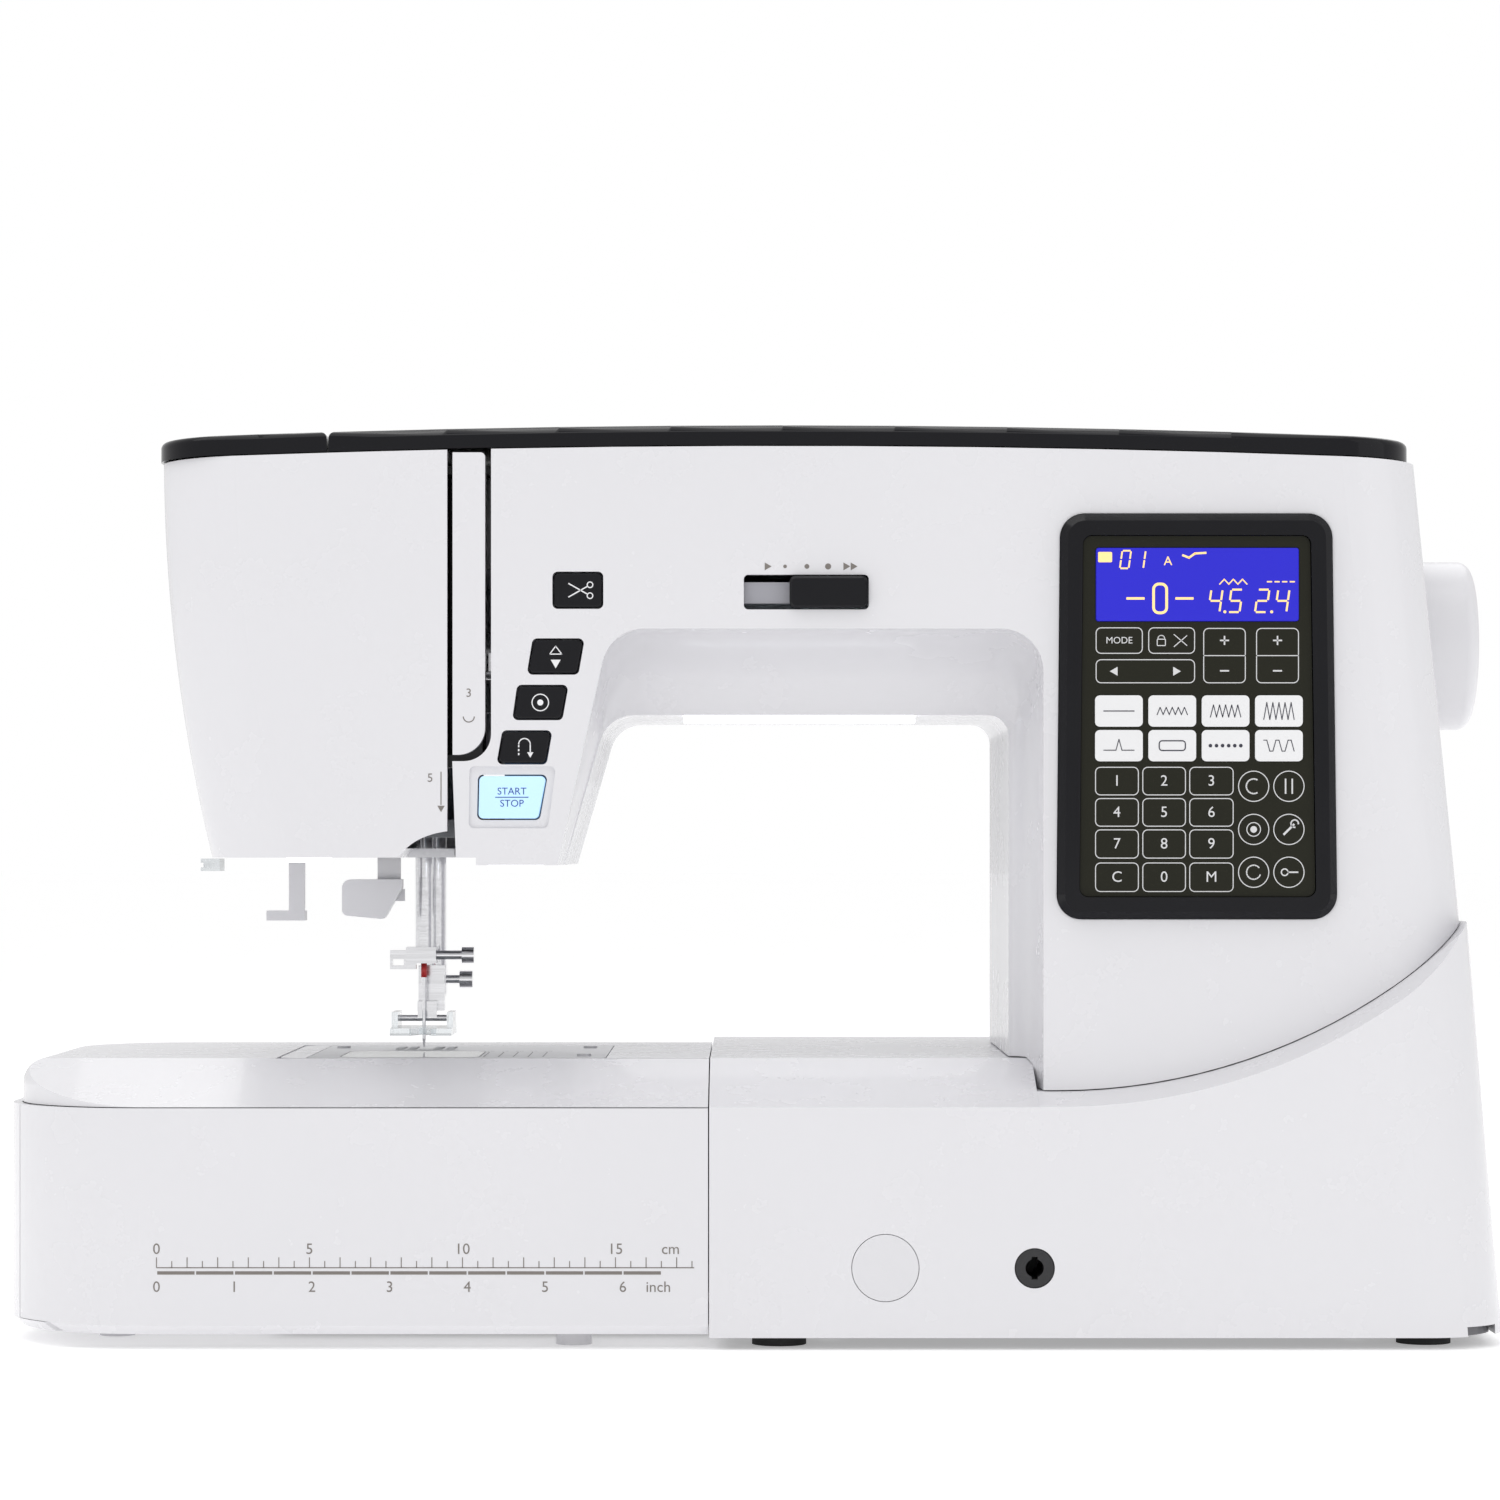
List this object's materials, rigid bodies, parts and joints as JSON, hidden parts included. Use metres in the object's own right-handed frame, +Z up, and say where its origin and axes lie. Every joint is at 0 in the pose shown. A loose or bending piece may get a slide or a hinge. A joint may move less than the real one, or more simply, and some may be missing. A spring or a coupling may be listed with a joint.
{
  "type": "sewing machine",
  "caption": "Computerised sewing machine with a long arm, keypad and screen, flat extension table with drop-down storage door, hinged lid and side handwheel.",
  "frame": {"origin": "on the table under the middle of the machine's bounding box", "axes": "+X to the operator's right, +Y away from the operator, +Z up"},
  "size_m": [0.499, 0.218, 0.3037],
  "materials": {
    "white_shell": "satin",
    "black_gloss": "gloss",
    "keypad": "satin",
    "screen": "gloss",
    "white_keys": "satin",
    "button_black": "satin",
    "lit_button": "satin",
    "steel": "brushed",
    "chrome": "polished",
    "cast": "cast",
    "rubber": "matt",
    "dark_plastic": "matt",
    "clear": "clear",
    "board": "satin",
    "motor_steel": "satin",
    "grey_plastic": "satin"
  },
  "bodies": {
    "machine": {"arm_front_cover": "white_shell", "arm_rear_cover": "white_shell", "balance_cap": "white_shell", "base_cover": "white_shell", "base_pan": "grey_plastic", "bobbin": "clear", "bobbin_holder": "dark_plastic", "circuit_boards": "board", "cover_screws": "steel", "face_plate": "white_shell", "frame_casting": "cast", "free_arm_cover": "white_shell", "head_cap": "black_gloss", "bushes_and_pins": "steel", "keypad_panel": "keypad", "lamp_lenses": "clear", "lcd_window": "screen", "motor": "motor_steel", "needle_plate": "steel", "panel_bezel": "black_gloss", "pattern_keys": "white_keys", "rubber_feet": "rubber", "side_panel": "dark_plastic", "spool_pin": "white_shell", "thread_channel_cover": "white_shell", "thread_channel_liner": "dark_plastic", "thread_cutter": "clear", "top_deck": "white_shell"},
    "drive": {"main_shaft": "steel", "handwheel": "white_shell"},
    "lower_drive": {"lower_shaft": "steel"},
    "hook": {"rotary_hook": "steel"},
    "motor_rotor": {"motor_pulley": "steel"},
    "needle_unit": {"needle_bar": "chrome", "needle_clamp": "chrome", "needle": "chrome"},
    "presser_unit": {"presser_bar": "chrome", "foot_holder": "chrome", "presser_foot": "clear"},
    "lifter": {"presser_lever": "grey_plastic"},
    "threader": {"needle_threader": "white_shell"},
    "buttonhole": {"buttonhole_lever": "white_shell"},
    "take_up": {"take_up_lever": "chrome"},
    "lid": {"lid": "black_gloss"},
    "handle": {"carry_handle": "white_shell"},
    "extension_table": {"table_box": "white_shell", "table_top": "white_shell"},
    "storage_door": {"storage_door": "white_shell"},
    "hook_cover": {"hook_cover_plate": "clear"},
    "feed": {"feed_dogs": "steel"},
    "power_rocker": {"power_switch": "dark_plastic"},
    "pressure_dial": {"pressure_dial": "grey_plastic"},
    "winder": {"bobbin_winder_spindle": "chrome"},
    "knee_lifter": {"knee_lifter_socket": "dark_plastic"},
    "speed_control": {"speed_slider": "button_black"},
    "cutter_key": {"thread_cut_button": "button_black"},
    "position_key": {"needle_position_button": "button_black"},
    "lock_key": {"lock_stitch_button": "button_black"},
    "reverse_key": {"reverse_button": "button_black"},
    "start_key": {"start_stop_button": "lit_button"}
  },
  "joints": [
    {"name": "main_shaft_turn", "type": "hinge", "parent": "machine", "child": "drive", "pos_m": [0.225, -0.003, 0.2348], "axis": [1, 0, 0], "continuous": true},
    {"name": "lower_shaft_turn", "type": "hinge", "parent": "machine", "child": "lower_drive", "pos_m": [0, -0.004, 0.057], "axis": [1, 0, 0], "continuous": true},
    {"name": "hook_turn", "type": "hinge", "parent": "machine", "child": "hook", "pos_m": [-0.1157, -0.0255, 0.07], "axis": [0, 0, 1], "continuous": true},
    {"name": "motor_turn", "type": "hinge", "parent": "machine", "child": "motor_rotor", "pos_m": [0.205, 0.044, 0.15], "axis": [1, 0, 0], "continuous": true},
    {"name": "needle_bar_travel", "type": "slide", "parent": "machine", "child": "needle_unit", "axis": [0, 0, 1], "range_m": [-0.012, 0.019]},
    {"name": "presser_lift", "type": "hinge", "parent": "machine", "child": "lifter", "pos_m": [-0.092, 0.042, 0.173], "axis": [1, 0, 0], "range_deg": [-30, 25]},
    {"name": "presser_bar_travel", "type": "slide", "parent": "machine", "child": "presser_unit", "axis": [0, 0, 1], "range_m": [-0.00439, 0.00366]},
    {"name": "threader_travel", "type": "slide", "parent": "machine", "child": "threader", "axis": [0, 0, 1], "range_m": [-0.022, 0], "stiffness_N_per_m": 20, "springref_m": 0.01},
    {"name": "buttonhole_travel", "type": "slide", "parent": "machine", "child": "buttonhole", "axis": [0, 0, 1], "range_m": [-0.026, 0]},
    {"name": "take_up_swing", "type": "hinge", "parent": "machine", "child": "take_up", "pos_m": [-0.093, -0.03, 0.226], "axis": [1, 0, 0], "range_deg": [-18, 22]},
    {"name": "lid_open", "type": "hinge", "parent": "machine", "child": "lid", "pos_m": [0, 0.0656, 0.299], "axis": [-1, 0, 0], "range_deg": [0, 75]},
    {"name": "handle_swing", "type": "hinge", "parent": "machine", "child": "handle", "pos_m": [0, 0.068, 0.272], "axis": [1, 0, 0], "range_deg": [0, 150]},
    {"name": "table_slide", "type": "slide", "parent": "machine", "child": "extension_table", "axis": [-1, 0, 0], "range_m": [0, 0.15]},
    {"name": "storage_door_drop", "type": "hinge", "parent": "extension_table", "child": "storage_door", "pos_m": [0, -0.103, 0.009], "axis": [1, 0, 0], "range_deg": [0, 80]},
    {"name": "hook_cover_lift", "type": "slide", "parent": "machine", "child": "hook_cover", "axis": [0, 0, 1], "range_m": [0, 0.0046]},
    {"name": "feed_drop", "type": "slide", "parent": "machine", "child": "feed", "axis": [0, 0, 1], "range_m": [-0.003, 0]},
    {"name": "power_rocker_tilt", "type": "hinge", "parent": "machine", "child": "power_rocker", "pos_m": [0.234, 0.022, 0.043], "axis": [0, 1, 0], "range_deg": [0, 8]},
    {"name": "pressure_dial_turn", "type": "hinge", "parent": "machine", "child": "pressure_dial", "pos_m": [-0.12, -0.04, 0.262], "axis": [0, 0, 1], "range_deg": [-140, 140]},
    {"name": "winder_turn", "type": "hinge", "parent": "machine", "child": "winder", "pos_m": [0.15, 0.02, 0.265], "axis": [0, 0, 1], "continuous": true},
    {"name": "knee_lifter_turn", "type": "hinge", "parent": "machine", "child": "knee_lifter", "pos_m": [0.0914, -0.109, 0.0268], "axis": [0, 1, 0], "range_deg": [-30, 0]},
    {"name": "speed_slider_travel", "type": "slide", "parent": "machine", "child": "speed_control", "axis": [1, 0, 0], "range_m": [-0.0146, 0]},
    {"name": "thread_cut_press", "type": "slide", "parent": "machine", "child": "cutter_key", "axis": [0, 1, 0], "range_m": [0, 0.0012], "stiffness_N_per_m": 400, "springref_m": -0.001},
    {"name": "needle_position_press", "type": "slide", "parent": "machine", "child": "position_key", "axis": [0, 1, 0], "range_m": [0, 0.0012], "stiffness_N_per_m": 400, "springref_m": -0.001},
    {"name": "lock_stitch_press", "type": "slide", "parent": "machine", "child": "lock_key", "axis": [0, 1, 0], "range_m": [0, 0.0012], "stiffness_N_per_m": 400, "springref_m": -0.001},
    {"name": "reverse_press", "type": "slide", "parent": "machine", "child": "reverse_key", "axis": [0, 1, 0], "range_m": [0, 0.0012], "stiffness_N_per_m": 400, "springref_m": -0.001},
    {"name": "start_stop_press", "type": "slide", "parent": "machine", "child": "start_key", "axis": [0, 1, 0], "range_m": [0, 0.0012], "stiffness_N_per_m": 400, "springref_m": -0.001}
  ],
  "couplings": [
    {"joint": "lower_shaft_turn", "follows": "main_shaft_turn", "ratio": 1},
    {"joint": "hook_turn", "follows": "main_shaft_turn", "ratio": 2},
    {"joint": "motor_turn", "follows": "main_shaft_turn", "ratio": 2.857},
    {"joint": "presser_lift", "follows": "presser_bar_travel", "rad_per_m": 119.05}
  ]
}
